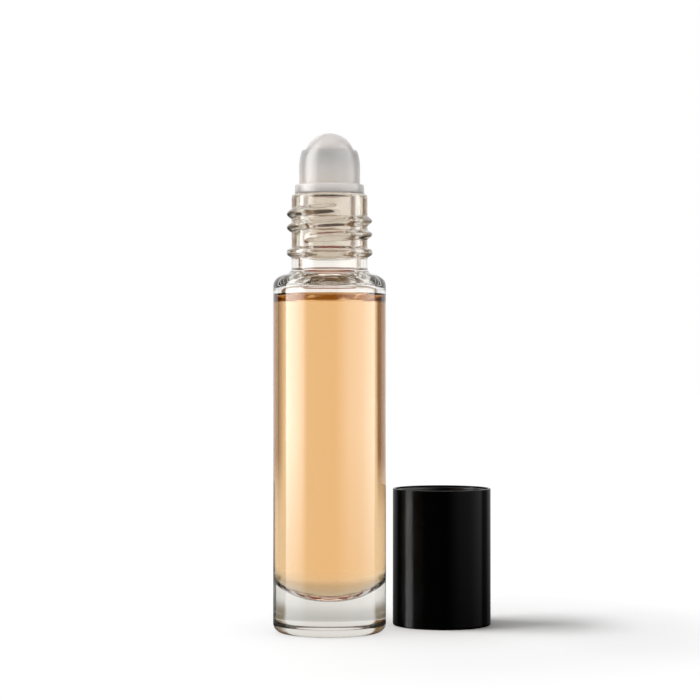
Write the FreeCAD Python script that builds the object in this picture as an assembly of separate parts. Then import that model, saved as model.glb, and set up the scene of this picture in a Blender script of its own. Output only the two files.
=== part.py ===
"""Roll-on bottle for scented oil, with its screw cap taken off and standing mouth up beside it.

Millimetres, +Z up. The origin is the middle of the bottle's base, on the surface it stands on.
-Y is the front, and the cap stands to the right (+X) and a little behind (+Y).
"""

import FreeCAD
import Part

import math
import os

# Glass bottle
body_diameter = 20.0
glass_wall = 2.1
base_thickness = 5.7
heel_radius = 1.6
punt_inset = 3.6
punt_depth = 0.7
punt_side_width = 1.4
punt_edge_radius = 0.7
cavity_corner_radius = 3.0
dish_flat_radius = 0.5
dish_slope_deg = 65.0
dish_land = 0.1
shoulder_height = 62.7
shoulder_slope_deg = 17.3
shoulder_radius = 2.1
inner_shoulder_radius = 1.05
neck_bore_diameter = 9.8
neck_wall = 1.85
neck_foot_radius = 1.0
rim_radius = 0.45
rim_inner_radius = 0.22

# Bead and screw thread on the neck
bead_above_foot = 3.45
bead_depth = 0.85
bead_root_width = 1.8
bead_crest_width = 0.8
bead_crest_radius = 0.4
bead_root_radius = 0.2
thread_above_bead = 2.3
thread_pitch = 2.4
thread_turns = 2.19
thread_below_rim = 2.7
thread_depth = 0.85
thread_root_width = 1.7
thread_crest_width = 0.62
thread_crest_rise = 0.16
thread_end_azimuth_deg = -68.0
thread_fade_deg = 28.0

# Oil in the bottle
headspace = 2.925
meniscus_rise = 1.7
meniscus_edge = 0.06
fill_clearance = 0.05

# Roller ball and the plug that holds it
ball_diameter = 9.0
ball_clearance = 0.08
ball_centre_below_lip = 1.45
cup_wall = 0.82
cup_height = 6.1
crown_radius = 7.3
crown_inset = 0.55
crown_height = 1.5
lip_round = 0.22
flange_thickness = 1.75
flange_seat = 1.25
flange_edge_radius = 0.3
flange_foot_radius = 0.15
plug_length = 11.5
plug_wall = 0.9
plug_slack = 0.15
plug_lead_in = 0.5
plug_roof_radius = 0.45
ring_count = 3
ring_bite = 0.05
ring_root_width = 0.9
ring_crest_width = 0.36
ring_crest_radius = 0.09
ring_below_rim = 2.2
ring_above_end = 4.1
feed_web = 1.25
feed_hole_diameter = 3.0
feed_slot_count = 4
feed_slot_width = 1.0
feed_slot_reach = 2.9

# Screw cap: shell, threaded insert and loose liner
shell_wall = 0.45
shell_end = 0.5
shell_edge_radius = 0.3
shell_rim_radius = 0.14
shell_corner_radius = 0.2
insert_wall = 0.65
insert_end = 0.7
insert_recess = 0.3
insert_mouth_radius = 0.25
insert_corner_ease = 0.05
thread_clearance = 0.2
cap_thread_turns = 1.5
cap_thread_lead = 0.45
cap_thread_root_width = 1.2
cap_thread_crest_width = 0.5
cap_thread_crest_rise = 0.12
liner_thickness = 1.0
liner_clearance = 0.1
liner_float = 0.05
snap_bead_depth = 0.35
snap_bead_width = 1.0
snap_bead_radius = 0.15
cap_above_foot = 2.1
cap_gap = 3.95
cap_direction_deg = 27.3

# How far a ridge reaches into the wall that carries it, so that the two make one solid
root_sink = 0.3

# Worked out from the sizes above: bottle
body_radius = body_diameter / 2
cavity_radius = body_radius - glass_wall
dish_slope = math.radians(dish_slope_deg)
corner_setback = cavity_corner_radius * math.tan((math.pi / 2 - dish_slope) / 2)
dish_reach = cavity_radius - dish_flat_radius - (dish_land + corner_setback) * math.cos(dish_slope)
dish_radius = dish_reach / math.sin(dish_slope)
bore_radius = neck_bore_diameter / 2
neck_radius = bore_radius + neck_wall
slope = math.tan(math.radians(shoulder_slope_deg))
sloped_wall = glass_wall / math.cos(math.radians(shoulder_slope_deg))
inner_shoulder = shoulder_height + slope * glass_wall - sloped_wall
inner_neck_foot = inner_shoulder + slope * (cavity_radius - bore_radius)
fill_level = inner_shoulder - headspace
neck_foot = shoulder_height + slope * (body_radius - neck_radius)
bead_height = neck_foot + bead_above_foot
thread_bottom = bead_height + thread_above_bead
thread_top = thread_bottom + thread_pitch * thread_turns
rim_height = thread_top + thread_below_rim
bead_radius = neck_radius + bead_depth
thread_radius = neck_radius + thread_depth

# Worked out from the sizes above: plug and ball
ball_radius = ball_diameter / 2
flange_radius = bore_radius + flange_seat
flange_top = rim_height + flange_thickness
lip_height = flange_top + cup_height
ball_height = lip_height - ball_centre_below_lip
socket_radius = ball_radius + ball_clearance
cup_radius = socket_radius + cup_wall
plug_bottom = rim_height - plug_length
plug_radius = bore_radius - plug_slack
plug_bore_radius = plug_radius - plug_wall
web_bottom = ball_height - socket_radius - feed_web

# Worked out from the sizes above: cap, which seals on the ball when its mouth is at cap_above_foot
insert_bore_radius = thread_radius + thread_clearance
insert_radius = insert_bore_radius + insert_wall
cap_radius = insert_radius + shell_wall
insert_floor = shell_end + insert_end
liner_top = insert_floor + liner_float + liner_thickness
cap_height = liner_top + ball_height + ball_radius - neck_foot - cap_above_foot
cap_thread_top = cap_height - (thread_bottom - neck_foot - cap_above_foot - cap_thread_lead)
cap_distance = body_radius + cap_radius + cap_gap
cap_azimuth = math.radians(cap_direction_deg)
cap_place = FreeCAD.Vector(cap_distance * math.cos(cap_azimuth), cap_distance * math.sin(cap_azimuth), 0)

UP = FreeCAD.Vector(0, 0, 1)
ORIGIN = FreeCAD.Vector(0, 0, 0)
# How much of a side its two roundings may use together
SIDE_SHARE = 0.99


def at(radius, height):
    """The point of an outline at this distance from the axis and this height."""
    return FreeCAD.Vector(radius, 0, height)


def rounded_outline(corners):
    """A closed wire through corners (radius, height, rounding).

    Where the two roundings on a side need more than its length, both are taken in to fit.
    """
    count = len(corners)
    points = [at(r, z) for r, z, _ in corners]
    sides = [points[(i + 1) % count] - points[i] for i in range(count)]
    half_turns = [sides[i - 1].getAngle(sides[i]) / 2 for i in range(count)]
    setbacks = [corners[i][2] * math.tan(half_turns[i]) for i in range(count)]
    needs = [setbacks[i] + setbacks[(i + 1) % count] for i in range(count)]
    fits = [min(1, SIDE_SHARE * side.Length / need) if need else 1 for side, need in zip(sides, needs)]
    edges = []
    line_start = None
    for i in range(count + 1):
        corner = i % count
        before = FreeCAD.Vector(sides[corner - 1]).normalize()
        after = FreeCAD.Vector(sides[corner]).normalize()
        setback = setbacks[corner] * min(fits[corner - 1], fits[corner])
        start = points[corner] - before * setback
        end = points[corner] + after * setback
        if line_start:
            edges.append(Part.LineSegment(line_start, start).toShape())
        if setback and i < count:
            inwards = (after - before).normalize()
            middle = points[corner] + inwards * setback * math.tan(half_turns[corner] / 2)
            edges.append(Part.Arc(start, middle, end).toShape())
        line_start = end
    return Part.Wire(edges)


def lathe(corners):
    """The solid that an outline makes when it turns once about the Z axis."""
    return Part.Face(rounded_outline(corners)).revolve(ORIGIN, UP, 360)


def helical_ridge(root_radius, crest_radius, root_width, crest_width, crest_rise, turns):
    """A right-hand ridge with straight flanks and an arc for its crest, climbing from +X at height 0."""
    outwards = 1 if crest_radius > root_radius else -1
    root = root_radius - outwards * root_sink
    flank_end = crest_radius - outwards * crest_rise
    foot_low = at(root, -root_width / 2)
    foot_high = at(root, root_width / 2)
    low = at(flank_end, -crest_width / 2)
    high = at(flank_end, crest_width / 2)
    outline = Part.Wire([
        Part.LineSegment(foot_low, low).toShape(),
        Part.Arc(low, at(crest_radius, 0), high).toShape(),
        Part.LineSegment(high, foot_high).toShape(),
        Part.LineSegment(foot_high, foot_low).toShape(),
    ])
    path = Part.Wire(Part.makeHelix(thread_pitch, thread_pitch * turns, root_radius).Edges)
    return path.makePipeShell([outline], True, True)


def fade_cutter(azimuth_deg, height):
    """What is cut off a thread's end, so that the ridge sinks into the neck there."""
    offset = thread_depth / (1 - math.cos(math.radians(thread_fade_deg)))
    azimuth = math.radians(azimuth_deg)
    shift = FreeCAD.Vector(math.cos(azimuth), math.sin(azimuth), 0) * offset
    low = FreeCAD.Vector(0, 0, height - thread_pitch / 2)
    ring = Part.makeCylinder(thread_radius + thread_depth, thread_pitch, low, UP)
    return ring.cut(Part.makeCylinder(neck_radius + offset, thread_pitch, low - shift, UP))


def neck_thread():
    """The thread on the glass neck, with both of its ends faded out."""
    bottom_azimuth_deg = thread_end_azimuth_deg - 360 * thread_turns
    ridge = helical_ridge(
        neck_radius, thread_radius, thread_root_width, thread_crest_width, thread_crest_rise, thread_turns
    )
    ridge.rotate(ORIGIN, UP, bottom_azimuth_deg)
    ridge.translate(FreeCAD.Vector(0, 0, thread_bottom))
    ridge = ridge.cut(fade_cutter(thread_end_azimuth_deg, thread_top))
    return ridge.cut(fade_cutter(bottom_azimuth_deg, thread_bottom))


def cavity_floor(inset):
    """The corners of the bottle's inside at its dished floor, taken in by an inset."""
    floor = base_thickness + inset
    edge = cavity_radius - inset
    radius = dish_radius - inset
    bend = dish_flat_radius + radius * math.tan(dish_slope / 2)
    rise = (edge - bend) * math.tan(dish_slope)
    return [(0, floor, 0), (bend, floor, radius), (edge, floor + rise, cavity_corner_radius - inset)]


def glass_bottle():
    """The bottle: thick base with a punt, straight body, sloping shoulder, and neck with bead and thread."""
    punt_radius = body_radius - punt_inset
    body = lathe([
        (0, punt_depth, 0),
        (punt_radius - punt_side_width, punt_depth, punt_side_width),
        (punt_radius, 0, punt_edge_radius),
        (body_radius, 0, heel_radius),
        (body_radius, shoulder_height, shoulder_radius),
        (neck_radius, neck_foot, neck_foot_radius),
        (neck_radius, bead_height - bead_root_width / 2, bead_root_radius),
        (bead_radius, bead_height - bead_crest_width / 2, bead_crest_radius),
        (bead_radius, bead_height + bead_crest_width / 2, bead_crest_radius),
        (neck_radius, bead_height + bead_root_width / 2, bead_root_radius),
        (neck_radius, rim_height, rim_radius),
        (bore_radius, rim_height, rim_inner_radius),
        (bore_radius, inner_neck_foot, neck_foot_radius),
        (cavity_radius, inner_shoulder, inner_shoulder_radius),
        *reversed(cavity_floor(0)),
    ])
    return body.fuse(neck_thread())


def perfume_oil():
    """The oil, up to its level, with the meniscus that climbs the glass."""
    edge = cavity_radius - fill_clearance
    return lathe([
        *cavity_floor(fill_clearance),
        (edge, fill_level + meniscus_rise, 0),
        (edge - meniscus_edge, fill_level + meniscus_rise, 0),
        (edge - meniscus_edge, fill_level, meniscus_rise),
        (0, fill_level, 0),
    ])


def sealing_rings():
    """The rings of the plug's outline, from the lowest one's lower side to the highest one's upper side."""
    crest = bore_radius + ring_bite
    lowest = plug_bottom + ring_above_end
    highest = rim_height - ring_below_rim
    outline = []
    for i in range(ring_count):
        height = highest - (highest - lowest) * (ring_count - 1 - i) / max(ring_count - 1, 1)
        outline += [
            (plug_radius, height - ring_root_width / 2, 0),
            (crest, height - ring_crest_width / 2, ring_crest_radius),
            (crest, height + ring_crest_width / 2, ring_crest_radius),
            (plug_radius, height + ring_root_width / 2, 0),
        ]
    return outline


def roller_housing():
    """The plug pressed into the neck: ringed skirt, flange on the rim, and cup that the ball snaps into."""
    feed_radius = feed_hole_diameter / 2
    body = lathe([
        (plug_bore_radius, plug_bottom, 0),
        (plug_radius, plug_bottom, plug_lead_in),
        *sealing_rings(),
        (plug_radius, rim_height, 0),
        (flange_radius, rim_height, flange_edge_radius),
        (flange_radius, flange_top, flange_edge_radius),
        (cup_radius, flange_top, flange_foot_radius),
        (cup_radius, lip_height - crown_height, crown_radius),
        (cup_radius - crown_inset, lip_height, lip_round),
        (feed_radius, lip_height, 0),
        (feed_radius, web_bottom, 0),
        (plug_bore_radius, web_bottom, plug_roof_radius),
    ])
    body = body.cut(Part.makeSphere(socket_radius, at(0, ball_height)))
    corner = FreeCAD.Vector(0, -feed_slot_width / 2, web_bottom)
    for i in range(feed_slot_count):
        slot = Part.makeBox(feed_slot_reach, feed_slot_width, feed_web + socket_radius, corner)
        slot.rotate(ORIGIN, UP, 360 * i / feed_slot_count)
        body = body.cut(slot)
    return body


def roller_ball():
    """The ball, free to turn in its cup."""
    return Part.makeSphere(ball_radius, at(0, ball_height))


def cap_shell():
    """The cap's glossy outer cup, standing on its closed end."""
    return lathe([
        (0, 0, 0),
        (cap_radius, 0, shell_edge_radius),
        (cap_radius, cap_height, shell_rim_radius),
        (insert_radius, cap_height, shell_rim_radius),
        (insert_radius, shell_end, shell_corner_radius),
        (0, shell_end, 0),
    ])


def cap_insert():
    """The threaded cup pressed into the shell, with the bead that the liner snaps past."""
    top = cap_height - insert_recess
    snap = liner_top + liner_float
    body = lathe([
        (0, shell_end, 0),
        (insert_radius, shell_end, shell_corner_radius + insert_corner_ease),
        (insert_radius, top, 0),
        (insert_bore_radius, top, insert_mouth_radius),
        (insert_bore_radius, snap + snap_bead_width, snap_bead_radius),
        (insert_bore_radius - snap_bead_depth, snap + snap_bead_width / 2, snap_bead_radius),
        (insert_bore_radius, snap, 0),
        (insert_bore_radius, insert_floor, 0),
        (0, insert_floor, 0),
    ])
    crest = neck_radius + thread_clearance
    ridge = helical_ridge(
        insert_bore_radius, crest, cap_thread_root_width, cap_thread_crest_width, cap_thread_crest_rise,
        cap_thread_turns,
    )
    ridge.translate(FreeCAD.Vector(0, 0, cap_thread_top - thread_pitch * cap_thread_turns))
    return body.fuse(ridge)


def cap_liner():
    """The sealing disc that presses on the ball when the cap is on, loose under the snap bead."""
    radius = insert_bore_radius - liner_clearance
    return Part.makeCylinder(radius, liner_thickness, at(0, insert_floor + liner_float), UP)


def main():
    pieces = {
        "glass_bottle": glass_bottle(),
        "perfume_oil": perfume_oil(),
        "roller_housing": roller_housing(),
        "roller_ball": roller_ball(),
    }
    cap_pieces = {"cap_shell": cap_shell(), "cap_insert": cap_insert(), "cap_liner": cap_liner()}
    for name, shape in cap_pieces.items():
        shape.translate(cap_place)
        pieces[name] = shape
    os.makedirs("parts", exist_ok=True)
    for name, shape in pieces.items():
        shape.exportStep(os.path.join("parts", name + ".step"))
        print(f"{name}: {len(shape.Solids)} solid, valid {shape.isValid()}, {shape.Volume / 1000:.3f} ml")
    print(f"rim {rim_height:.2f}, oil {fill_level:.2f}, ball {ball_height:.2f}, liner {liner_top:.2f}")
    print(f"cap {2 * cap_radius:.2f} x {cap_height:.2f} at {cap_place.x:.3f}, {cap_place.y:.3f}")


main()
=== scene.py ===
"""Looks of the roll-on bottle: clear glass, amber oil, a translucent roller and a glossy black cap.

Metres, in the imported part's frame: the origin is the middle of the bottle's base, and -Y is the front.
"""

import math

import bmesh
import bpy
from mathutils import Euler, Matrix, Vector


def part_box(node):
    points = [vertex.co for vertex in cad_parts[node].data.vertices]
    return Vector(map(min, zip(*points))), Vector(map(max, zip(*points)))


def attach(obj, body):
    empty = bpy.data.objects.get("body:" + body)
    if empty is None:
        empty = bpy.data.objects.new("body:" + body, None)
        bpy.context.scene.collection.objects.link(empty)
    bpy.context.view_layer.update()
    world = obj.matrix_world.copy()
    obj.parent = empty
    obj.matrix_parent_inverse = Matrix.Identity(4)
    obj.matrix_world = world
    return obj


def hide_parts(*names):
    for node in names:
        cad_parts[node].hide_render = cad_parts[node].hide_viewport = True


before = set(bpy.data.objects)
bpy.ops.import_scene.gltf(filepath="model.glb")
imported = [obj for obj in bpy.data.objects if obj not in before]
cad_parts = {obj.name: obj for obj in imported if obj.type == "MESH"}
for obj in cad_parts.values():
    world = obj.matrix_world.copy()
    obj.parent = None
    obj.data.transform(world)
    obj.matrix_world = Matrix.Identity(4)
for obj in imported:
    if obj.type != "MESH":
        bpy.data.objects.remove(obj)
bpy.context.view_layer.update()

MM = 0.001
TURN = 2 * math.pi

# Sizes that the frame gives
_, bottle_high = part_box("glass_bottle")
_, oil_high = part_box("perfume_oil")
plug_low, plug_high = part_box("roller_housing")
ball_low, ball_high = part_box("roller_ball")
shell_low, shell_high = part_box("cap_shell")
insert_low, insert_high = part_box("cap_insert")
liner_low, liner_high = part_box("cap_liner")
BODY_RADIUS = bottle_high.x
RIM = bottle_high.z
FLANGE_RADIUS = plug_high.x
LIP = plug_high.z
PLUG_BOTTOM = plug_low.z
BALL_CENTRE = (ball_low.z + ball_high.z) / 2
CAP_AXIS = (shell_low + shell_high) / 2
CAP_RADIUS = (shell_high.x - shell_low.x) / 2
CAP_HEIGHT = shell_high.z
INSERT_RADIUS = (insert_high.x - insert_low.x) / 2
LINER_RADIUS = (liner_high.x - liner_low.x) / 2

# Glass
GLASS_WALL = 2.1 * MM
BASE = 5.7 * MM
HEEL_ROUND = 1.6 * MM
PUNT_RADIUS = 6.4 * MM
PUNT_DEPTH = 0.7 * MM
PUNT_EDGE = 2 * PUNT_DEPTH
CAVITY_RADIUS = BODY_RADIUS - GLASS_WALL
CAVITY_ROUND = 3.0 * MM
DISH_RADIUS = 7.81 * MM
DISH_FLAT = 0.5 * MM
DISH_SLOPE = math.radians(65)
SHOULDER = 62.7 * MM
SHOULDER_ROUND = 2.1 * MM
NECK_FOOT = 63.712 * MM
NECK_FOOT_ROUND = 1.0 * MM
INNER_SHOULDER = 61.155 * MM
INNER_FOOT = 62.09 * MM
BORE_RADIUS = 4.9 * MM
NECK_RADIUS = 6.75 * MM
RIM_ROUND = 0.45 * MM
BEAD = 67.162 * MM
BEAD_RADIUS = 7.6 * MM
BEAD_HALF_WIDTH = 0.4 * MM
BEAD_ROUND = 0.4 * MM
BEAD_FOOT = 0.9 * MM
BEAD_FOOT_ROUND = 0.2 * MM

# Thread on the neck
PITCH = 2.4 * MM
THREAD_TOP = 74.718 * MM
THREAD_TURNS = 2.19
THREAD_END = math.radians(-68)
THREAD_DEPTH = 0.85 * MM
THREAD_HALF_WIDTH = 0.9 * MM
THREAD_FADE = math.radians(38)
THREAD_ROW = 0.11 * MM

# Oil
OIL_LEVEL = 58.23 * MM
OIL_TOP = oil_high.z
OIL_CLIMB = OIL_TOP - OIL_LEVEL
OIL_INTO_GLASS = 0.04 * MM
MENISCUS_SLOPE = math.radians(19)
MENISCUS_ROUND = 4.0 * MM
# Painted meniscus shade on the glass: it fades out over this height below the oil's top, and ends at its
# foot
MENISCUS_SHADE_FADE = 0.5 * MM
MENISCUS_SHADE_FOOT = OIL_LEVEL + 0.3 * MM

# Light bends more at the oil's floor than at its wall, so that its lower edge shows as a line
FLOOR_BEND = 0.13
FLOOR_RISE = 5.0 * MM

# Roller
FLANGE_TOP = 79.168 * MM
CUP_RADIUS = 5.4 * MM
SOCKET_RADIUS = 4.58 * MM
PLUG_RADIUS = 4.92 * MM
PLUG_BORE = 3.85 * MM
PLUG_ROOF = 77.988 * MM
FEED_RADIUS = 1.5 * MM
PLUG_ROUND = 0.4 * MM
PLUG_ROOF_ROUND = 0.45 * MM
RING_HEIGHTS = [z * MM for z in (70.018, 72.618, 75.218)]
RING_RADIUS = BORE_RADIUS + 0.05 * MM
RING_HALF_WIDTH = 0.18 * MM
RING_ROUND = 0.09 * MM
RING_FOOT = 0.45 * MM
FLANGE_GAP = 0.01 * MM
FLANGE_ROUND = 0.3 * MM
CUP_FOOT_ROUND = 0.15 * MM
CUP_SHOULDER = LIP - 1.5 * MM
CUP_SHOULDER_ROUND = 7.3 * MM
LIP_OUTER_RADIUS = CUP_RADIUS - 0.55 * MM
LIP_ROUND = 0.22 * MM

# Cap
SHELL_FLOOR = 0.5 * MM
SHELL_FOOT_ROUND = 0.3 * MM
SHELL_RIM_ROUND = 0.14 * MM
SHELL_FLOOR_ROUND = 0.2 * MM
INSERT_BORE = 7.8 * MM
INSERT_FLOOR = 1.2 * MM
INSERT_ROUND = 0.25 * MM
CAP_THREAD_TOP = 21.546 * MM
CAP_THREAD_TURNS = 1.5
CAP_THREAD_DEPTH = 0.85 * MM
CAP_THREAD_HALF_WIDTH = 0.62 * MM
SNAP_BEAD = 2.8 * MM
SNAP_BEAD_DEPTH = 0.35 * MM
SNAP_BEAD_HALF_WIDTH = 0.5 * MM
SNAP_BEAD_ROUND = 0.15 * MM
LINER_FOOT_ROUND = 0.15 * MM
LINER_TOP_ROUND = 0.2 * MM

# Marks on points: where a piece touches another clear one, and the painted meniscus shade on the glass
TOUCH = "touch"
MENISCUS_SHADE_MARK = "meniscus_shade"

# How finely meshes are divided
ARC_STEP = math.radians(5)
EDGE_HOLD = 0.08 * MM
LONG_RUN = 8 * EDGE_HOLD
ON_AXIS = EDGE_HOLD / 10
SHARP_EDGE = math.radians(40)
SEGMENTS = 192


def rounded(corners):
    """The points of an outline through corners (radius, height, rounding), with roundings as arcs."""
    spots = [Vector((r, z)) for r, z, _ in corners]
    drawn = []
    for i, (_, _, rounding) in enumerate(corners):
        if not rounding:
            drawn.append(spots[i])
            continue
        before = (spots[i - 1] - spots[i]).normalized()
        after = (spots[(i + 1) % len(spots)] - spots[i]).normalized()
        half = before.angle(after) / 2
        centre = spots[i] + (before + after).normalized() * rounding / math.sin(half)
        start = spots[i] + before * rounding / math.tan(half) - centre
        end = spots[i] + after * rounding / math.tan(half) - centre
        sweep = math.atan2(start.x * end.y - start.y * end.x, start.dot(end))
        steps = max(2, math.ceil(abs(sweep) / ARC_STEP))
        for k in range(steps + 1):
            turn = sweep * k / steps
            cos, sin = math.cos(turn), math.sin(turn)
            swept = Vector((start.x * cos - start.y * sin, start.x * sin + start.y * cos))
            drawn.append(centre + swept)
    return drawn


def arc(height, radius, first, last):
    """Points of a circle round the axis point at this height, between two angles up from level."""
    steps = math.ceil(abs(last - first) / ARC_STEP)
    angles = [first + (last - first) * k / steps for k in range(steps + 1)]
    return [Vector((radius * math.cos(a), height + radius * math.sin(a))) for a in angles]


def held(outline, closed):
    """The outline with points added near both ends of each long run, so that flat walls shade flat."""
    runs = zip(outline, outline[1:] + outline[:1] if closed else outline[1:])
    points = []
    for start, end in runs:
        points.append(start)
        length = (end - start).length
        if length > LONG_RUN:
            step = (end - start) * EDGE_HOLD / length
            points += [start + step, end - step]
    return points if closed else points + [outline[-1]]


def turned(name, outline, axis=(0, 0), closed=False, stands_out=None, marks=None):
    """A piece turned on a lathe: the outline spun about an upright axis.

    stands_out gives the extra radius of a thread, and marks the value of each mark at a spot of the
    outline.
    """
    outline = held(outline, closed)
    mesh = bpy.data.meshes.new(name)
    bm = bmesh.new()
    layers = {bm.verts.layers.float.new(mark): value for mark, value in (marks or {}).items()}
    hoops = []
    for spot in outline:
        if spot.x < ON_AXIS:
            hoop = [bm.verts.new((axis[0], axis[1], spot.y))] * SEGMENTS
        else:
            hoop = []
            for k in range(SEGMENTS):
                angle = TURN * k / SEGMENTS
                radius = spot.x + (stands_out(angle, spot) if stands_out else 0)
                x = axis[0] + radius * math.cos(angle)
                y = axis[1] + radius * math.sin(angle)
                hoop.append(bm.verts.new((x, y, spot.y)))
        for layer, value in layers.items():
            for vert in hoop:
                vert[layer] = value(spot)
        hoops.append(hoop)
    for low, high in zip(hoops, hoops[1:] + hoops[:1] if closed else hoops[1:]):
        for k in range(SEGMENTS):
            corners = (low[k], low[(k + 1) % SEGMENTS], high[(k + 1) % SEGMENTS], high[k])
            bm.faces.new(dict.fromkeys(corners))
    bmesh.ops.recalc_face_normals(bm, faces=bm.faces)
    for face in bm.faces:
        face.smooth = True
    bm.to_mesh(mesh)
    bm.free()
    mesh.set_sharp_from_angle(angle=SHARP_EDGE)
    piece = bpy.data.objects.new(name, mesh)
    bpy.context.scene.collection.objects.link(piece)
    return piece


def thread_ridge(angle, height, top, end, turns, depth, half_width):
    """How far a right-hand thread stands out of its wall at this angle and height."""
    behind = (end - angle) % TURN
    ridge = 0
    while behind <= turns * TURN:
        across = abs(height - top + PITCH * behind / TURN) / half_width
        if across < 1:
            fade = min(1, behind / THREAD_FADE, (turns * TURN - behind) / THREAD_FADE)
            ridge = max(ridge, depth * fade * fade * (3 - 2 * fade) * (1 - across ** 2) ** 1.5)
        behind += TURN
    return ridge


def rows(radius, low, high, step):
    """Plain corners up a wall, close enough together to carry a thread."""
    count = math.ceil((high - low) / step)
    return [(radius, low + (high - low) * k / count, 0) for k in range(count + 1)]


def dished_floor(inset):
    """Corners of the cavity's dished floor, from the axis to the wall, taken in by an inset."""
    bottom = BASE + inset
    edge = CAVITY_RADIUS - inset
    radius = DISH_RADIUS - inset
    bend = DISH_FLAT + radius * math.tan(DISH_SLOPE / 2)
    rise = (edge - bend) * math.tan(DISH_SLOPE)
    return [(0, bottom, 0), (bend, bottom, radius), (edge, bottom + rise, CAVITY_ROUND - inset)]


def glass_bottle():
    def thread(angle, spot):
        if spot.x < NECK_RADIUS - EDGE_HOLD or spot.y < BEAD:
            return 0
        return thread_ridge(
            angle, spot.y, THREAD_TOP, THREAD_END, THREAD_TURNS, THREAD_DEPTH, THREAD_HALF_WIDTH
        )

    thread_low = THREAD_TOP - THREAD_TURNS * PITCH - THREAD_HALF_WIDTH
    outline = rounded([
        (0, PUNT_DEPTH, 0),
        (PUNT_RADIUS - PUNT_EDGE, PUNT_DEPTH, PUNT_EDGE),
        (PUNT_RADIUS, 0, PUNT_DEPTH),
        (BODY_RADIUS, 0, HEEL_ROUND),
        (BODY_RADIUS, SHOULDER, SHOULDER_ROUND),
        (NECK_RADIUS, NECK_FOOT, NECK_FOOT_ROUND),
        (NECK_RADIUS, BEAD - BEAD_FOOT, BEAD_FOOT_ROUND),
        (BEAD_RADIUS, BEAD - BEAD_HALF_WIDTH, BEAD_ROUND),
        (BEAD_RADIUS, BEAD + BEAD_HALF_WIDTH, BEAD_ROUND),
        (NECK_RADIUS, BEAD + BEAD_FOOT, BEAD_FOOT_ROUND),
        *rows(NECK_RADIUS, thread_low, THREAD_TOP + THREAD_HALF_WIDTH, THREAD_ROW),
        (NECK_RADIUS, RIM, RIM_ROUND),
        (BORE_RADIUS, RIM, RIM_ROUND / 2),
        (BORE_RADIUS, PLUG_BOTTOM + EDGE_HOLD, 0),
        (BORE_RADIUS, PLUG_BOTTOM - EDGE_HOLD, 0),
        (BORE_RADIUS, INNER_FOOT, NECK_FOOT_ROUND),
        (CAVITY_RADIUS, INNER_SHOULDER, SHOULDER_ROUND / 2),
        (CAVITY_RADIUS, OIL_TOP, 0),
        (CAVITY_RADIUS, OIL_TOP - EDGE_HOLD, 0),
        (CAVITY_RADIUS, OIL_TOP - MENISCUS_SHADE_FADE, 0),
        (CAVITY_RADIUS, MENISCUS_SHADE_FOOT, 0),
        (CAVITY_RADIUS, MENISCUS_SHADE_FOOT - EDGE_HOLD, 0),
        *reversed(dished_floor(0)),
    ])

    def wet(spot):
        by_oil = spot.x < CAVITY_RADIUS + EDGE_HOLD and BASE - EDGE_HOLD < spot.y < OIL_TOP
        by_plug = abs(spot.x - BORE_RADIUS) < EDGE_HOLD and PLUG_BOTTOM < spot.y < RIM
        return by_oil or by_plug

    # Painted shade: the meniscus band's mark on the glass, fading out towards the oil's top
    def meniscus_shade(spot):
        if abs(spot.x - CAVITY_RADIUS) > EDGE_HOLD or spot.y < MENISCUS_SHADE_FOOT:
            return 0
        return max(0, min(1, (OIL_TOP - spot.y) / MENISCUS_SHADE_FADE))

    return turned("bottle_glass", outline, stands_out=thread, marks={TOUCH: wet, MENISCUS_SHADE_MARK: meniscus_shade})


def perfume_oil():
    edge = CAVITY_RADIUS + OIL_INTO_GLASS
    knee = edge - OIL_CLIMB / math.tan(MENISCUS_SLOPE)
    outline = rounded([
        *dished_floor(-OIL_INTO_GLASS),
        (edge, OIL_TOP, 0),
        (knee, OIL_LEVEL, MENISCUS_ROUND),
        (0, OIL_LEVEL, 0),
    ])

    def wet(spot):
        if spot.x < edge - OIL_INTO_GLASS / 4 and spot.y > OIL_LEVEL - EDGE_HOLD:
            return 0
        return 1 + FLOOR_BEND * max(0, 1 - (spot.y - BASE) / FLOOR_RISE)

    return turned("oil", outline, marks={TOUCH: wet})


def sealing_ring(height):
    return [
        (PLUG_RADIUS, height - RING_FOOT, 0),
        (RING_RADIUS, height - RING_HALF_WIDTH, RING_ROUND),
        (RING_RADIUS, height + RING_HALF_WIDTH, RING_ROUND),
        (PLUG_RADIUS, height + RING_FOOT, 0),
    ]


def roller_housing():
    lip_angle = math.asin((LIP - BALL_CENTRE) / SOCKET_RADIUS)
    feed_angle = -math.acos(FEED_RADIUS / SOCKET_RADIUS)
    outside = rounded([
        (PLUG_BORE, PLUG_BOTTOM, 0),
        (PLUG_RADIUS, PLUG_BOTTOM, PLUG_ROUND),
        *[corner for height in RING_HEIGHTS for corner in sealing_ring(height)],
        (PLUG_RADIUS, RIM + FLANGE_GAP, 0),
        (FLANGE_RADIUS, RIM + FLANGE_GAP, FLANGE_ROUND),
        (FLANGE_RADIUS, FLANGE_TOP, FLANGE_ROUND),
        (CUP_RADIUS, FLANGE_TOP, CUP_FOOT_ROUND),
        (CUP_RADIUS, CUP_SHOULDER, CUP_SHOULDER_ROUND),
        (LIP_OUTER_RADIUS, LIP, LIP_ROUND),
        (SOCKET_RADIUS * math.cos(lip_angle), LIP, 0),
    ])
    socket = arc(BALL_CENTRE, SOCKET_RADIUS, lip_angle, feed_angle)[1:]
    underside = rounded([
        (FEED_RADIUS, PLUG_ROOF, 0),
        (PLUG_BORE, PLUG_ROOF, PLUG_ROOF_ROUND),
        (PLUG_BORE, PLUG_BOTTOM, 0),
    ])

    def wet(spot):
        return spot.x > PLUG_RADIUS - EDGE_HOLD and spot.y < RIM

    piece = turned("roller_plug", outside + socket + underside[:-1], closed=True, marks={TOUCH: wet})
    for face in piece.data.polygons:
        face.material_index = 1 if face.center.z < RIM else 0
    return piece


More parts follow.
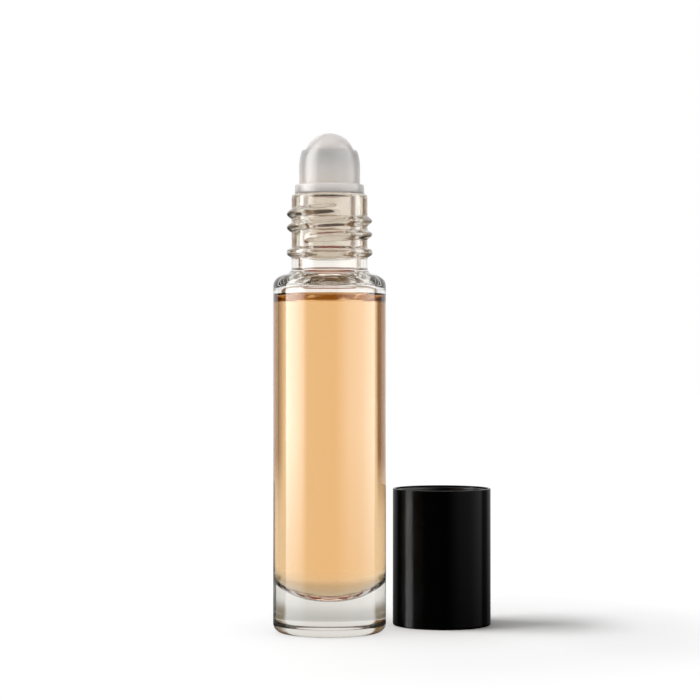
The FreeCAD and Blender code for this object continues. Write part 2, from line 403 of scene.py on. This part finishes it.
def cap_shell():
    outline = rounded([
        (0, 0, 0),
        (CAP_RADIUS, 0, SHELL_FOOT_ROUND),
        (CAP_RADIUS, CAP_HEIGHT, SHELL_RIM_ROUND),
        (INSERT_RADIUS, CAP_HEIGHT, SHELL_RIM_ROUND),
        (INSERT_RADIUS, SHELL_FLOOR, SHELL_FLOOR_ROUND),
        (0, SHELL_FLOOR, 0),
    ])
    return turned("cap_outer", outline, axis=CAP_AXIS)


def cap_insert():
    def thread(angle, spot):
        if spot.x > INSERT_BORE + EDGE_HOLD or spot.y < SNAP_BEAD + 2 * SNAP_BEAD_HALF_WIDTH:
            return 0
        return -thread_ridge(
            angle, spot.y, CAP_THREAD_TOP, 0, CAP_THREAD_TURNS, CAP_THREAD_DEPTH, CAP_THREAD_HALF_WIDTH
        )

    thread_low = CAP_THREAD_TOP - CAP_THREAD_TURNS * PITCH - CAP_THREAD_HALF_WIDTH
    outline = rounded([
        (0, insert_low.z, 0),
        (INSERT_RADIUS, insert_low.z, INSERT_ROUND),
        (INSERT_RADIUS, insert_high.z, 0),
        (INSERT_BORE, insert_high.z, INSERT_ROUND),
        *reversed(rows(INSERT_BORE, thread_low, CAP_THREAD_TOP + CAP_THREAD_HALF_WIDTH, THREAD_ROW)),
        (INSERT_BORE, SNAP_BEAD + SNAP_BEAD_HALF_WIDTH, SNAP_BEAD_ROUND),
        (INSERT_BORE - SNAP_BEAD_DEPTH, SNAP_BEAD, SNAP_BEAD_ROUND),
        (INSERT_BORE, SNAP_BEAD - SNAP_BEAD_HALF_WIDTH, 0),
        (INSERT_BORE, INSERT_FLOOR, 0),
        (0, INSERT_FLOOR, 0),
    ])
    return turned("cap_threaded_cup", outline, axis=CAP_AXIS, stands_out=thread)


def cap_liner():
    outline = rounded([
        (0, liner_low.z, 0),
        (LINER_RADIUS, liner_low.z, LINER_FOOT_ROUND),
        (LINER_RADIUS, liner_high.z, LINER_TOP_ROUND),
        (0, liner_high.z, 0),
    ])
    return turned("cap_seal_disc", outline, axis=CAP_AXIS)


# Finishes
WHITE = (1, 1, 1, 1)
GLASS_INDEX = 1.52
OIL_INDEX = 1.47
PLASTIC_INDEX = 1.5
GLASS_TINT = (0.985, 0.965, 0.935, 1)
# Painted meniscus shade: its brown, the noise levels of its streaks, and their stretch
MENISCUS_SHADE_TINT = (0.2, 0.07, 0.006, 1)
MENISCUS_SHADE_STREAKS = (0.75, 0.58)
MENISCUS_SHADE_STRETCH = (330, 330, 1500)
PLASTIC_DEPTH = (4 * MM, 4 * MM, 4 * MM)
GRAIN_SHARE = 0.12
WAVE_SPAN = (0.3, 0.7)


def node(tree, kind, **values):
    """A node with some of its inputs set, by their names with _ for a space."""
    made = tree.nodes.new(kind)
    for name, value in values.items():
        made.inputs[name.replace("_", " ")].default_value = value
    return made


def maths(tree, operation, first, second):
    """A Math node on two inputs, each a number or another node's output."""
    made = tree.nodes.new("ShaderNodeMath")
    made.operation = operation
    for socket, given in zip(made.inputs, (first, second)):
        if isinstance(given, (int, float)):
            socket.default_value = given
        else:
            tree.links.new(given, socket)
    return made.outputs[0]


def smooth_step(tree, value, none, full):
    """A smooth rise from 0 where the value is none to 1 where it is full."""
    made = node(tree, "ShaderNodeMapRange", From_Min=none, From_Max=full)
    made.interpolation_type = "SMOOTHSTEP"
    tree.links.new(value, made.inputs["Value"])
    return made.outputs["Result"]


def mixed(tree, share, first, second):
    """A blend of two colours, by the second's share."""
    made = tree.nodes.new("ShaderNodeMix")
    made.data_type = "RGBA"
    for socket, colour in zip([s for s in made.inputs if s.type == "RGBA"], (first, second)):
        socket.default_value = colour
    tree.links.new(share, made.inputs[0])
    return next(s for s in made.outputs if s.type == "RGBA")


def new_group(name, inputs, outputs):
    """A shader group with number inputs (name: usual value) and outputs, and its two end nodes."""
    tree = bpy.data.node_groups.new(name, "ShaderNodeTree")
    for socket, usual in inputs.items():
        given = tree.interface.new_socket(socket, in_out="INPUT", socket_type="NodeSocketFloat")
        given.default_value = usual
    for socket in outputs:
        tree.interface.new_socket(socket, in_out="OUTPUT", socket_type="NodeSocketFloat")
    return tree, tree.nodes.new("NodeGroupInput"), tree.nodes.new("NodeGroupOutput")


def moulded_skin_group():
    """The faint unevenness of a moulded face: a slow wave with fine grain, and gloss that varies."""
    tree, given, result = new_group(
        "moulded skin",
        {"Wave Scale": 120, "Grain Scale": 2500, "Gloss Low": 0.1, "Gloss High": 0.2},
        ["Height", "Roughness"],
    )
    spot = tree.nodes.new("ShaderNodeTexCoord").outputs["Object"]
    wave = node(tree, "ShaderNodeTexNoise", Detail=2.0)
    grain = node(tree, "ShaderNodeTexNoise", Detail=4.0)
    low, high = WAVE_SPAN
    gloss = node(tree, "ShaderNodeMapRange", From_Min=low, From_Max=high)
    tree.links.new(spot, wave.inputs["Vector"])
    tree.links.new(spot, grain.inputs["Vector"])
    tree.links.new(given.outputs["Wave Scale"], wave.inputs["Scale"])
    tree.links.new(given.outputs["Grain Scale"], grain.inputs["Scale"])
    fine = maths(tree, "MULTIPLY", grain.outputs["Fac"], GRAIN_SHARE)
    tree.links.new(maths(tree, "ADD", fine, wave.outputs["Fac"]), result.inputs["Height"])
    tree.links.new(wave.outputs["Fac"], gloss.inputs["Value"])
    tree.links.new(given.outputs["Gloss Low"], gloss.inputs["To Min"])
    tree.links.new(given.outputs["Gloss High"], gloss.inputs["To Max"])
    tree.links.new(gloss.outputs["Result"], result.inputs["Roughness"])
    return tree


def finish(name, **values):
    """A material, its nodes and its Principled shader, which is set to these values."""
    made = bpy.data.materials.new(name)
    made.use_nodes = True
    tree = made.node_tree
    shader = tree.nodes["Principled BSDF"]
    for socket, value in values.items():
        shader.inputs[socket.replace("_", " ")].default_value = value
    return made, tree, shader


skin_group = moulded_skin_group()


def give_skin(tree, shader, depth, wave, grain, gloss):
    """Puts a moulded skin on a shader: bump of this depth, and gloss between a low and a high."""
    skin = tree.nodes.new("ShaderNodeGroup")
    skin.node_tree = skin_group
    for socket, value in zip(skin.inputs, (wave, grain, *gloss)):
        socket.default_value = value
    bump = node(tree, "ShaderNodeBump", Strength=1.0, Distance=depth)
    tree.links.new(skin.outputs["Height"], bump.inputs["Height"])
    tree.links.new(bump.outputs["Normal"], shader.inputs["Normal"])
    tree.links.new(skin.outputs["Roughness"], shader.inputs["Roughness"])


def bend_light(tree, shader, dry, touching=1.0):
    """Sets how far light bends where a piece is dry, and where it touches another clear piece."""
    mark = tree.nodes.new("ShaderNodeAttribute")
    mark.attribute_name = TOUCH
    index = node(tree, "ShaderNodeMapRange", To_Min=dry, To_Max=touching)
    index.clamp = False
    tree.links.new(mark.outputs["Fac"], index.inputs["Value"])
    tree.links.new(index.outputs["Result"], shader.inputs["IOR"])
    shader.inputs["IOR"].default_value = dry


def paint_meniscus_shade(tree, shader):
    """Painted shade on the glass at the meniscus: a brown band in level streaks, for its dark band."""
    mark = tree.nodes.new("ShaderNodeAttribute")
    mark.attribute_name = MENISCUS_SHADE_MARK
    spot = tree.nodes.new("ShaderNodeTexCoord").outputs["Object"]
    stretch = node(tree, "ShaderNodeMapping", Scale=MENISCUS_SHADE_STRETCH)
    tree.links.new(spot, stretch.inputs["Vector"])
    streaks = node(tree, "ShaderNodeTexNoise", Scale=1.0, Detail=2.0)
    tree.links.new(stretch.outputs["Vector"], streaks.inputs["Vector"])
    streaky = smooth_step(tree, streaks.outputs["Fac"], *MENISCUS_SHADE_STREAKS)
    depth = maths(tree, "MULTIPLY", mark.outputs["Fac"], streaky)
    tree.links.new(mixed(tree, depth, GLASS_TINT, MENISCUS_SHADE_TINT), shader.inputs["Base Color"])


def soak_up(tree, colour, density):
    """Colours light on its way through a clear piece, the more the longer the way."""
    volume = node(tree, "ShaderNodeVolumeAbsorption", Color=colour, Density=density)
    tree.links.new(volume.outputs["Volume"], tree.nodes["Material Output"].inputs["Volume"])


def clear_glass():
    made, tree, shader = finish("clear glass", Transmission_Weight=1.0)
    give_skin(tree, shader, depth=0.004 * MM, wave=90, grain=400, gloss=(0, 0.012))
    bend_light(tree, shader, GLASS_INDEX)
    # Painted shade: the brown meniscus band on the glass
    paint_meniscus_shade(tree, shader)
    soak_up(tree, colour=(0.4, 0.38, 0.3, 1), density=22)
    return made


def amber_oil():
    made, tree, shader = finish("amber oil", Transmission_Weight=1.0, Base_Color=WHITE)
    give_skin(tree, shader, depth=0.06 * MM, wave=400, grain=900, gloss=(0, 0.03))
    bend_light(tree, shader, OIL_INDEX, OIL_INDEX / GLASS_INDEX)
    soak_up(tree, colour=(0.949, 0.65, 0.174, 1), density=100)
    return made


def milky_finish(name, **values):
    """A finish of plastic that light sinks into."""
    return finish(
        name, Subsurface_Weight=1.0, Subsurface_Radius=PLASTIC_DEPTH, Subsurface_Scale=1.0, **values
    )


def natural_plastic():
    made, tree, shader = milky_finish(
        "natural plastic", Base_Color=(0.90, 0.80, 0.74, 1), Transmission_Weight=0.08,
        IOR=PLASTIC_INDEX, Coat_Weight=0.4, Coat_Roughness=0.04,
    )
    give_skin(tree, shader, depth=0.002 * MM, wave=200, grain=3000, gloss=(0.3, 0.4))
    return made


def wetted_plastic():
    made, tree, shader = milky_finish(
        "wetted plastic", Base_Color=(0.96, 0.92, 0.86, 1), Transmission_Weight=0.94
    )
    give_skin(tree, shader, depth=0.002 * MM, wave=200, grain=3000, gloss=(0.02, 0.06))
    bend_light(tree, shader, PLASTIC_INDEX)
    return made


def ball_plastic():
    made, tree, shader = milky_finish(
        "ball plastic", Base_Color=(0.92, 0.84, 0.80, 1), Transmission_Weight=0.08,
        IOR=PLASTIC_INDEX, Coat_Weight=0.8, Coat_Roughness=0.04,
    )
    give_skin(tree, shader, depth=0.001 * MM, wave=200, grain=3000, gloss=(0.4, 0.5))
    return made


def black_gloss():
    made, tree, shader = finish(
        "black gloss", Base_Color=(0.001, 0.001, 0.001, 1), Specular_IOR_Level=0.042
    )
    give_skin(tree, shader, depth=0.001 * MM, wave=150, grain=2500, gloss=(0.14, 0.2))
    return made


def black_satin():
    made, tree, shader = finish("black satin", Base_Color=(0.008, 0.008, 0.008, 1))
    give_skin(tree, shader, depth=0.006 * MM, wave=300, grain=4000, gloss=(0.3, 0.42))
    return made


def liner_foam():
    made, tree, shader = finish("liner foam", Base_Color=(0.8, 0.79, 0.77, 1))
    give_skin(tree, shader, depth=0.02 * MM, wave=400, grain=5000, gloss=(0.6, 0.75))
    return made


def place(piece, material, body, slot, *replaced):
    """Gives a piece its finish and body, and hides the nodes of the frame that it stands for; slot is
    not used.
    """
    piece.data.materials.append(material)
    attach(piece, body)
    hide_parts(*replaced)


def dress_ball():
    """The frame's own ball, in its finish."""
    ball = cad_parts["roller_ball"]
    ball.data.materials.clear()
    ball.data.materials.append(ball_plastic())
    return ball


# Soft boxes: azimuths are to the left of the front, and elevations are up from level
KEY = dict(azimuth=90, elevation=53, distance=0.6, size=(0.40, 0.18), glow=15.0)
OVERHEAD = dict(azimuth=0, elevation=90, distance=0.9, size=(1.0, 1.0), glow=1.1)
FILL = dict(azimuth=40, elevation=60, distance=0.5, size=(0.3, 0.3), glow=3.4)
CAP_STRIP = dict(azimuth=86, elevation=-5, distance=0.6, size=(0.22, 0.3), glow=14.0)

# Paper: a pair of distances is where a change along it starts and where it is complete
PAPER_HALF_WIDTH = 1.2
PAPER_FRONT = 0.6
PAPER_BACK = 2.0
PAPER_DROP = 0.02 * MM
PAPER_WHITE = (0.9, 0.9, 0.9, 1)
PAPER_LIT = (0.045, 0.09)
# Painted contact shade: the paper's colour turns to this warm grey where ambient occlusion within this
# reach finds objects
CONTACT_REACH = 0.03
CONTACT_SHADE = (0.52, 0.48, 0.44, 1)
PAPER_FADE = (0.15, 0.7)
# Painted shade seen only through glass: near the foot the paper glows grey, with dim bands where the
# underfoot ring is low
UNDERFOOT_REACH = (0.05, 0.026)
UNDERFOOT_DIM_REACH = (0.055, 0.03)
UNDERFOOT_PALE = (0.72, 0.72, 0.72, 1)
UNDERFOOT_DIM = (0.34, 0.30, 0.23, 1)

# Surroundings: brightness by azimuth, and pairs of elevations where each starts and is complete
AMBIENT_LOW = 0.35
AMBIENT_HIGH = 0.1
AMBIENT_BAND = (12, 35)
PALE = (1.03, 1.03, 1.03, 1)
ROOM = (0.24, 0.14, 0.06, 1)
PANELS = [
    (0, 0), (46, 0), (58, 5.0), (72, 7.5), (98, 8.5), (101, 0), (128, 0), (133, 0.9), (226, 0.9),
    (231, 0.36), (253, 0.36), (256, 4.6), (274, 4.6), (290, 3.2), (318, 2.6), (331, 1.5), (348, 0),
    (360, 0),
]
PANEL_MOST = 10.0
PANEL_FOOT = (-8, -2)
PANEL_HEAD = (55, 35)
WALL_HEAD = (32, 12)
BACKDROP_HEAD = (65, 45)
WALLS = [
    (0, 1), (101, 1), (108, 0), (135, 0), (140, 1), (217, 1), (223, 0.55), (231, 0.15), (250, 0),
    (262, 0), (268, 1), (360, 1),
]
BACKDROP = [(0, 0), (135, 0), (140, 1), (217, 1), (224, 0), (360, 0)]
# Azimuths of the painted shade under the foot, seen through glass: 1 is the grey glow, 0 the dim one
UNDERFOOT = [
    (0, 1), (98, 1), (104, 0), (138, 0), (144, 1), (213, 1), (219, 0), (256, 0), (262, 1), (360, 1),
]


def sheet(name, corners, material):
    """A flat piece of the studio with four corners."""
    mesh = bpy.data.meshes.new(name)
    mesh.from_pydata(corners, [], [(0, 1, 2, 3)])
    mesh.materials.append(material)
    made = bpy.data.objects.new(name, mesh)
    bpy.context.scene.collection.objects.link(made)
    return made


def ring(tree, ahead, left, stops, most=1):
    """Brightness by azimuth, from stops (degrees, brightness), as a share of the most."""
    azimuth = maths(tree, "FRACT", maths(tree, "DIVIDE", maths(tree, "ARCTAN2", left, ahead), TURN), 0)
    ramp = tree.nodes.new("ShaderNodeValToRGB")
    for degrees, _ in stops[1:-1]:
        ramp.color_ramp.elements.new(degrees / 360)
    for stop, (_, brightness) in zip(ramp.color_ramp.elements, stops):
        share = brightness / most
        stop.color = (share, share, share, 1)
    tree.links.new(azimuth, ramp.inputs[0])
    return ramp.outputs["Color"]


def shining(tree, colour):
    """A surface that glows in a colour that another node gives."""
    made = tree.nodes.new("ShaderNodeEmission")
    tree.links.new(colour, made.inputs["Color"])
    return made.outputs[0]


def blend(tree, share, first, second):
    """A blend of two shaders, by the second's share."""
    made = tree.nodes.new("ShaderNodeMixShader")
    for socket, given in zip(made.inputs, (share, first, second)):
        tree.links.new(given, socket)
    return made.outputs[0]


def directions(tree, vector):
    """The parts of a vector that point ahead, to the left and up."""
    parts = tree.nodes.new("ShaderNodeSeparateXYZ")
    tree.links.new(vector, parts.inputs[0])
    ahead = maths(tree, "MULTIPLY", parts.outputs["Y"], -1)
    left = maths(tree, "MULTIPLY", parts.outputs["X"], -1)
    return ahead, left, parts.outputs["Z"]


def floor():
    """A sheet of pale paper, lit by the lamps close to the object and glowing white further out.

    Far from the object, to all but the camera, the glow turns to that of the walls. Near objects the
    paper's colour has a painted contact shade, from ambient occlusion. Through glass, the paper at the
    object's foot glows in painted shade: grey, with dim bands by azimuth.
    """
    material, tree, lit = finish("pale paper", Roughness=0.7)
    # Painted contact shade: ambient occlusion darkens the paper's colour near objects
    open_sky = node(tree, "ShaderNodeAmbientOcclusion", Distance=CONTACT_REACH)
    painted_contact_shade = mixed(tree, open_sky.outputs["AO"], CONTACT_SHADE, PAPER_WHITE)
    tree.links.new(painted_contact_shade, lit.inputs["Base Color"])

    spot = tree.nodes.new("ShaderNodeTexCoord").outputs["Object"]
    length = node(tree, "ShaderNodeVectorMath")
    length.operation = "LENGTH"
    tree.links.new(spot, length.inputs[0])
    reach = length.outputs["Value"]
    ahead, left, _ = directions(tree, spot)
    path = tree.nodes.new("ShaderNodeLightPath")

    dim = maths(tree, "SUBTRACT", 1, ring(tree, ahead, left, WALLS))
    unseen = maths(tree, "SUBTRACT", 1, path.outputs["Is Camera Ray"])
    faded = maths(tree, "MULTIPLY", unseen, smooth_step(tree, reach, *PAPER_FADE))
    pale = maths(tree, "SUBTRACT", 1, maths(tree, "MULTIPLY", faded, dim))
    white = shining(tree, mixed(tree, pale, ROOM, PALE))
    sheet_look = blend(tree, smooth_step(tree, reach, *PAPER_LIT), lit.outputs[0], white)

    # Painted shade through glass: the paper at the foot glows grey, dim in bands by azimuth
    shade = ring(tree, maths(tree, "ADD", ahead, BODY_RADIUS), left, UNDERFOOT)
    painted_foot_shade = shining(tree, mixed(tree, shade, UNDERFOOT_DIM, UNDERFOOT_PALE))
    dark = maths(tree, "SUBTRACT", smooth_step(tree, reach, *UNDERFOOT_DIM_REACH), shade)
    near = maths(tree, "MAXIMUM", dark, smooth_step(tree, reach, *UNDERFOOT_REACH))
    through = maths(tree, "MULTIPLY", near, path.outputs["Is Transmission Ray"])
    look = blend(tree, through, sheet_look, painted_foot_shade)
    tree.links.new(look, tree.nodes["Material Output"].inputs["Surface"])

    w, z = PAPER_HALF_WIDTH, -PAPER_DROP
    corners = [(-w, -PAPER_FRONT, z), (w, -PAPER_FRONT, z), (w, PAPER_BACK, z), (-w, PAPER_BACK, z)]
    paper = sheet("floor", corners, material)
    paper.visible_glossy = False
    return paper


def soft_box(name, azimuth, elevation, distance, size, glow, lit=(), in_gloss=False):
    """A rectangle of even light that faces the object, out of sight.

    lit is the pieces that it lights, or all if none is given. in_gloss makes it show in gloss, and
    cast no shadow.
    """
    light = bpy.data.lights.new(name, "AREA")
    light.shape = "RECTANGLE"
    light.size, light.size_y = size
    light.energy = glow * math.pi * size[0] * size[1]
    made = bpy.data.objects.new(name, light)
    turn = Euler((math.radians(90 - elevation), 0, -math.radians(azimuth)))
    made.rotation_euler = turn
    made.location = Vector((0, 0, distance))
    made.location.rotate(turn)
    made.visible_camera = False
    made.visible_glossy = in_gloss
    light.use_shadow = not in_gloss
    light.cycles.use_multiple_importance_sampling = not in_gloss
    if lit:
        made.light_linking.receiver_collection = bpy.data.collections.new(f"lit by {name}")
        for piece in lit:
            made.light_linking.receiver_collection.objects.link(piece)
    bpy.context.scene.collection.objects.link(made)


def band(tree, height, none, full, low=0.0, high=1.0):
    """A value that goes from low at one elevation to high at another, for directions of this height."""
    made = node(tree, "ShaderNodeMapRange", To_Min=low, To_Max=high)
    made.inputs["From Min"].default_value = math.sin(math.radians(none))
    made.inputs["From Max"].default_value = math.sin(math.radians(full))
    tree.links.new(height, made.inputs["Value"])
    return made.outputs["Result"]


def glow(tree, colour, strength):
    """A world light, with each of its colour and strength a value or another node's output."""
    made = tree.nodes.new("ShaderNodeBackground")
    for socket, given in zip(made.inputs, (colour, strength)):
        if isinstance(given, bpy.types.NodeSocket):
            tree.links.new(given, socket)
        else:
            socket.default_value = given
    return made.outputs[0]


def surroundings():
    """White to the camera, panels in gloss, walls and a dim room through glass, else a soft light."""
    world = bpy.data.worlds.new("studio")
    world.use_nodes = True
    tree = world.node_tree
    ahead, left, up = directions(tree, tree.nodes.new("ShaderNodeTexCoord").outputs["Generated"])
    upright = maths(tree, "MULTIPLY", band(tree, up, *PANEL_FOOT), band(tree, up, *PANEL_HEAD))
    strength = maths(tree, "MULTIPLY", upright, PANEL_MOST)
    panels = glow(tree, ring(tree, ahead, left, PANELS, PANEL_MOST), strength)
    walls = maths(tree, "MULTIPLY", ring(tree, ahead, left, WALLS), band(tree, up, *WALL_HEAD))
    behind = maths(tree, "MULTIPLY", ring(tree, ahead, left, BACKDROP), band(tree, up, *BACKDROP_HEAD))
    room = glow(tree, mixed(tree, maths(tree, "MAXIMUM", walls, behind), ROOM, PALE), 1.0)
    white = glow(tree, WHITE, 1.0)
    seen = glow(tree, WHITE, band(tree, up, *AMBIENT_BAND, AMBIENT_LOW, AMBIENT_HIGH))
    path = tree.nodes.new("ShaderNodeLightPath")
    rays = (("Is Glossy Ray", panels), ("Is Transmission Ray", room), ("Is Camera Ray", white))
    for kind, other in rays:
        seen = blend(tree, path.outputs[kind], seen, other)
    tree.links.new(seen, tree.nodes["World Output"].inputs["Surface"])
    bpy.context.scene.world = world


# Camera
FOCAL_PIXELS = 2200
IMAGE_PIXELS = 700
SENSOR = 36
CAMERA_PLACE = Vector((3.62, -390, 49.9)) * MM


def camera():
    lens = bpy.data.cameras.new("camera")
    lens.sensor_width = SENSOR
    lens.lens = SENSOR * FOCAL_PIXELS / IMAGE_PIXELS
    lens.clip_start = 0.01
    made = bpy.data.objects.new("camera", lens)
    made.location = CAMERA_PLACE
    made.rotation_euler = (math.radians(90), 0, 0)
    bpy.context.scene.collection.objects.link(made)
    bpy.context.scene.camera = made


def picture():
    """How light is traced through the glass, and how brightness becomes colour."""
    scene = bpy.context.scene
    scene.view_settings.view_transform = "Standard"
    scene.cycles.max_bounces = 32
    scene.cycles.transmission_bounces = 32
    scene.cycles.glossy_bounces = 12
    scene.cycles.transparent_max_bounces = 16
    scene.cycles.sample_clamp_indirect = 8
    scene.cycles.caustics_reflective = False
    scene.cycles.caustics_refractive = False


camera()
glass = glass_bottle()
oil = perfume_oil()
for clear in (glass, oil):
    clear.visible_shadow = False
place(glass, clear_glass(), "bottle", "clear_glass", "glass_bottle")
place(oil, amber_oil(), "bottle", "amber_oil", "perfume_oil")
housing = roller_housing()
place(housing, natural_plastic(), "bottle", "natural_plastic", "roller_housing")
housing.data.materials.append(wetted_plastic())
ball = dress_ball()
shell = cap_shell()
place(shell, black_gloss(), "cap", "black_gloss", "cap_shell")
place(cap_insert(), black_satin(), "cap", "black_satin", "cap_insert")
place(cap_liner(), liner_foam(), "liner", "liner_foam", "cap_liner")
soft_box("key", **KEY, lit=[floor()])
soft_box("overhead", **OVERHEAD)
soft_box("fill", **FILL, lit=[housing, ball])
soft_box("cap strip", **CAP_STRIP, lit=[shell], in_gloss=True)
surroundings()
picture()
